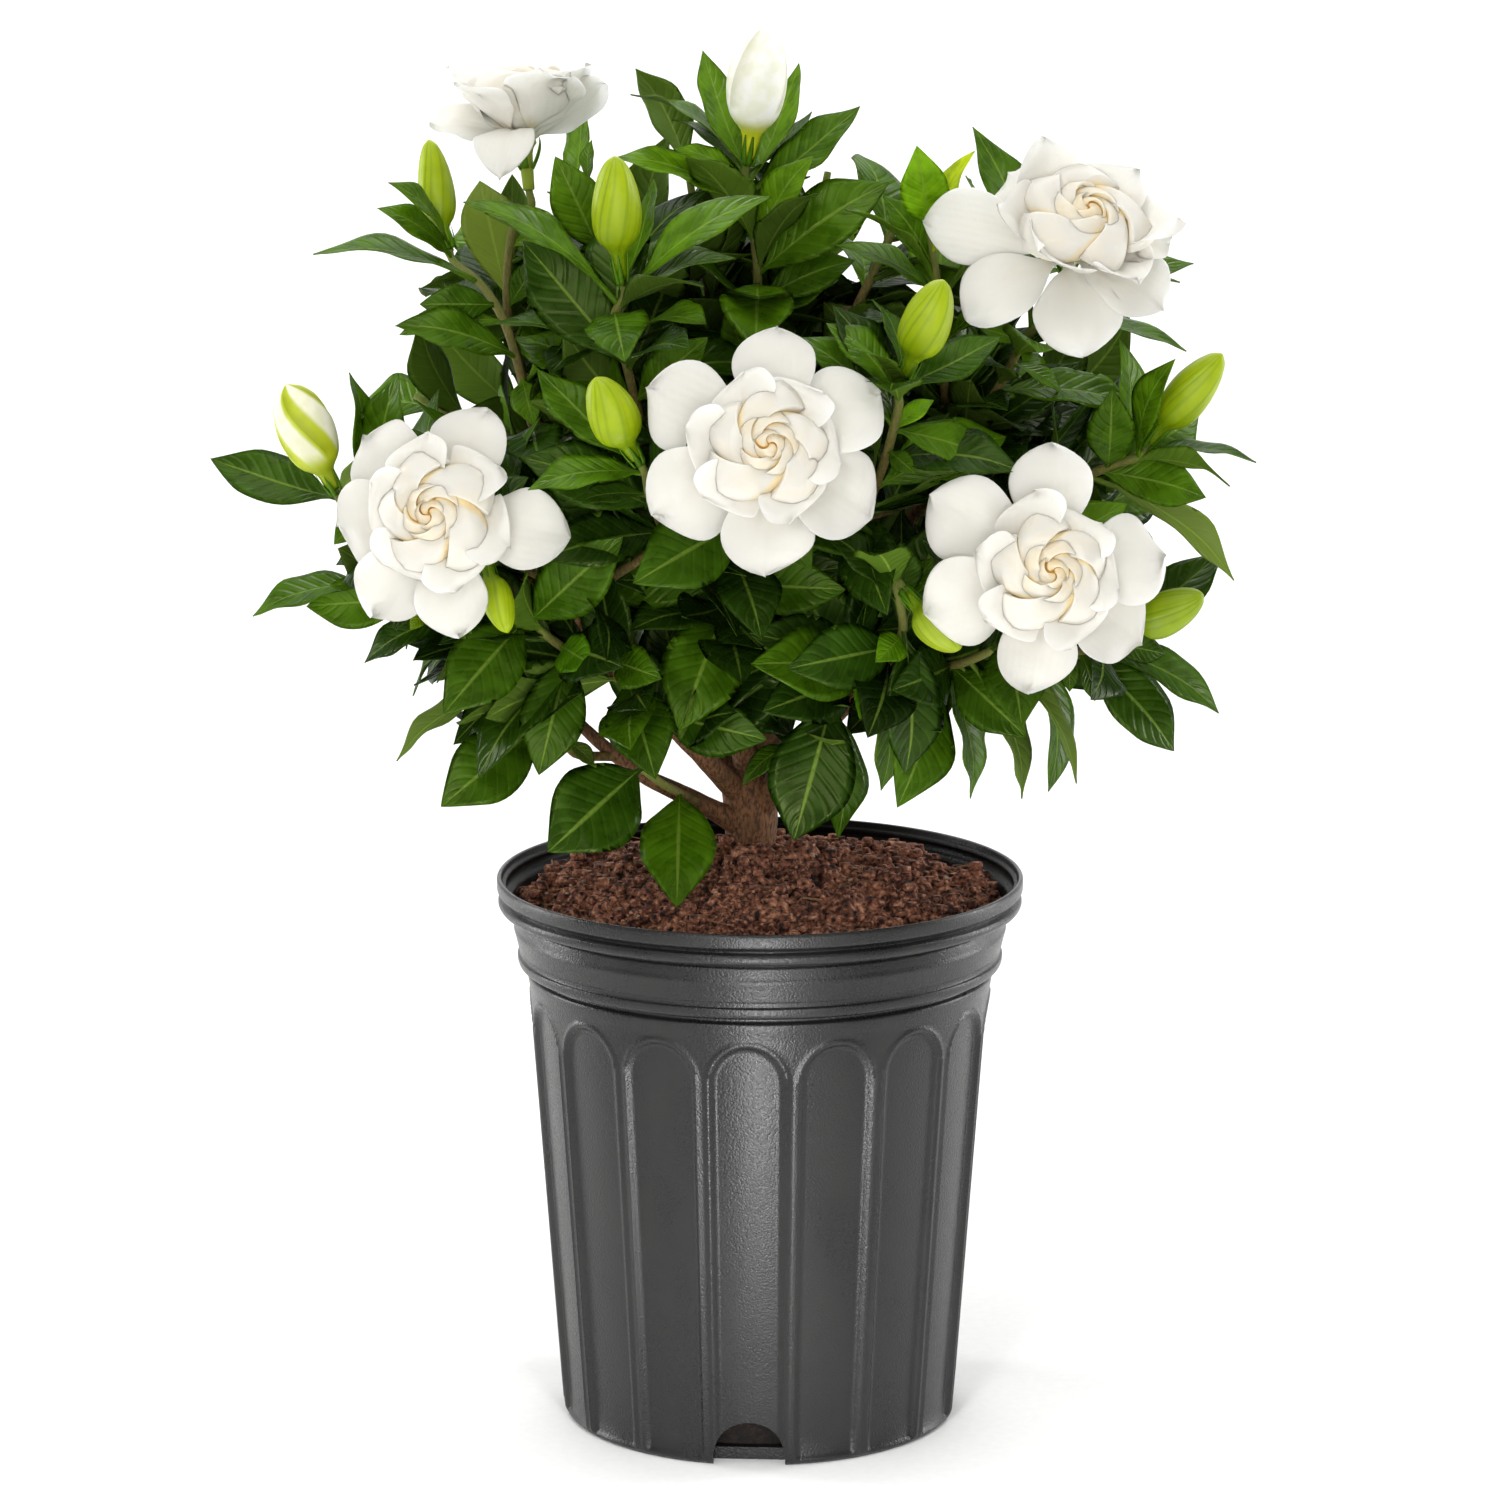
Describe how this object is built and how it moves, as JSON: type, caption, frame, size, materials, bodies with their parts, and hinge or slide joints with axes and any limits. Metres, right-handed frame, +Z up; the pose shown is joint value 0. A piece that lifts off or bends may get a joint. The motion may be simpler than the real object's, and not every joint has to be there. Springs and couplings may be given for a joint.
{
  "type": "potted gardenia",
  "caption": "Gardenia shrub with open double white blooms and buds, rooted in soil in a ribbed black nursery pot with a stepped lip.",
  "frame": {"origin": "centre of the pot's flat underside", "axes": "+Z up along the pot's axis, -Y towards the side that the picture shows, with the front flute and the middle bloom"},
  "size_m": [0.43, 0.3429, 0.5898],
  "materials": {
    "pot_plastic": "black moulded polyethylene with a satin stippled skin",
    "potting_mix": "crumbly damp mix of composted bark and peat",
    "bark": "young grey-brown bark",
    "leaf": "glossy dark green leathery leaf",
    "petal": "waxy warm white petal",
    "white_bud": "rolled white petals with a greenish base",
    "green_bud": "smooth yellow-green rolled petals"
  },
  "bodies": {
    "root": {"bloom_centre": "petal", "bloom_high_left": "petal", "bloom_high_right": "petal", "bloom_left": "petal", "bloom_low_right": "petal", "bud_far_left_top": "green_bud", "bud_left": "green_bud", "bud_low_left": "green_bud", "bud_low_mid": "green_bud", "bud_low_right": "green_bud", "bud_mid_left": "green_bud", "bud_mid_right": "green_bud", "bud_right": "green_bud", "bud_top": "white_bud", "bud_upper_left": "green_bud", "pot": "pot_plastic", "potting_soil": "potting_mix", "shoot_back_1": "leaf", "shoot_back_10": "leaf", "shoot_back_11": "leaf", "shoot_back_12": "leaf", "shoot_back_13": "leaf", "shoot_back_14": "leaf", "shoot_back_15": "leaf", "shoot_back_16": "leaf", "shoot_back_17": "leaf", "shoot_back_18": "leaf", "shoot_back_2": "leaf", "shoot_back_3": "leaf", "shoot_back_4": "leaf", "shoot_back_5": "leaf", "shoot_back_6": "leaf", "shoot_back_7": "leaf", "shoot_back_8": "leaf", "shoot_back_9": "leaf", "shoot_behind_upper_left": "leaf", "shoot_behind_upper_right": "leaf", "shoot_bloom_centre": "leaf", "shoot_bloom_left": "leaf", "shoot_bloom_low_right": "leaf", "shoot_far_left_top": "leaf", "shoot_far_lower_left": "leaf", "shoot_high_left": "leaf", "shoot_high_right": "leaf", "shoot_leader": "leaf", "shoot_left": "leaf", "shoot_low_centre": "leaf", "shoot_low_front_right": "leaf", "shoot_low_left": "leaf", "shoot_low_left_centre": "leaf", "shoot_low_mid": "leaf", "shoot_low_right": "leaf", "shoot_lower_left": "leaf", "shoot_lowest_left": "leaf", "shoot_mid_left": "leaf", "shoot_mid_right": "leaf", "shoot_right": "leaf", "shoot_upper_left": "leaf", "wood": "bark"}
  },
  "joints": []
}
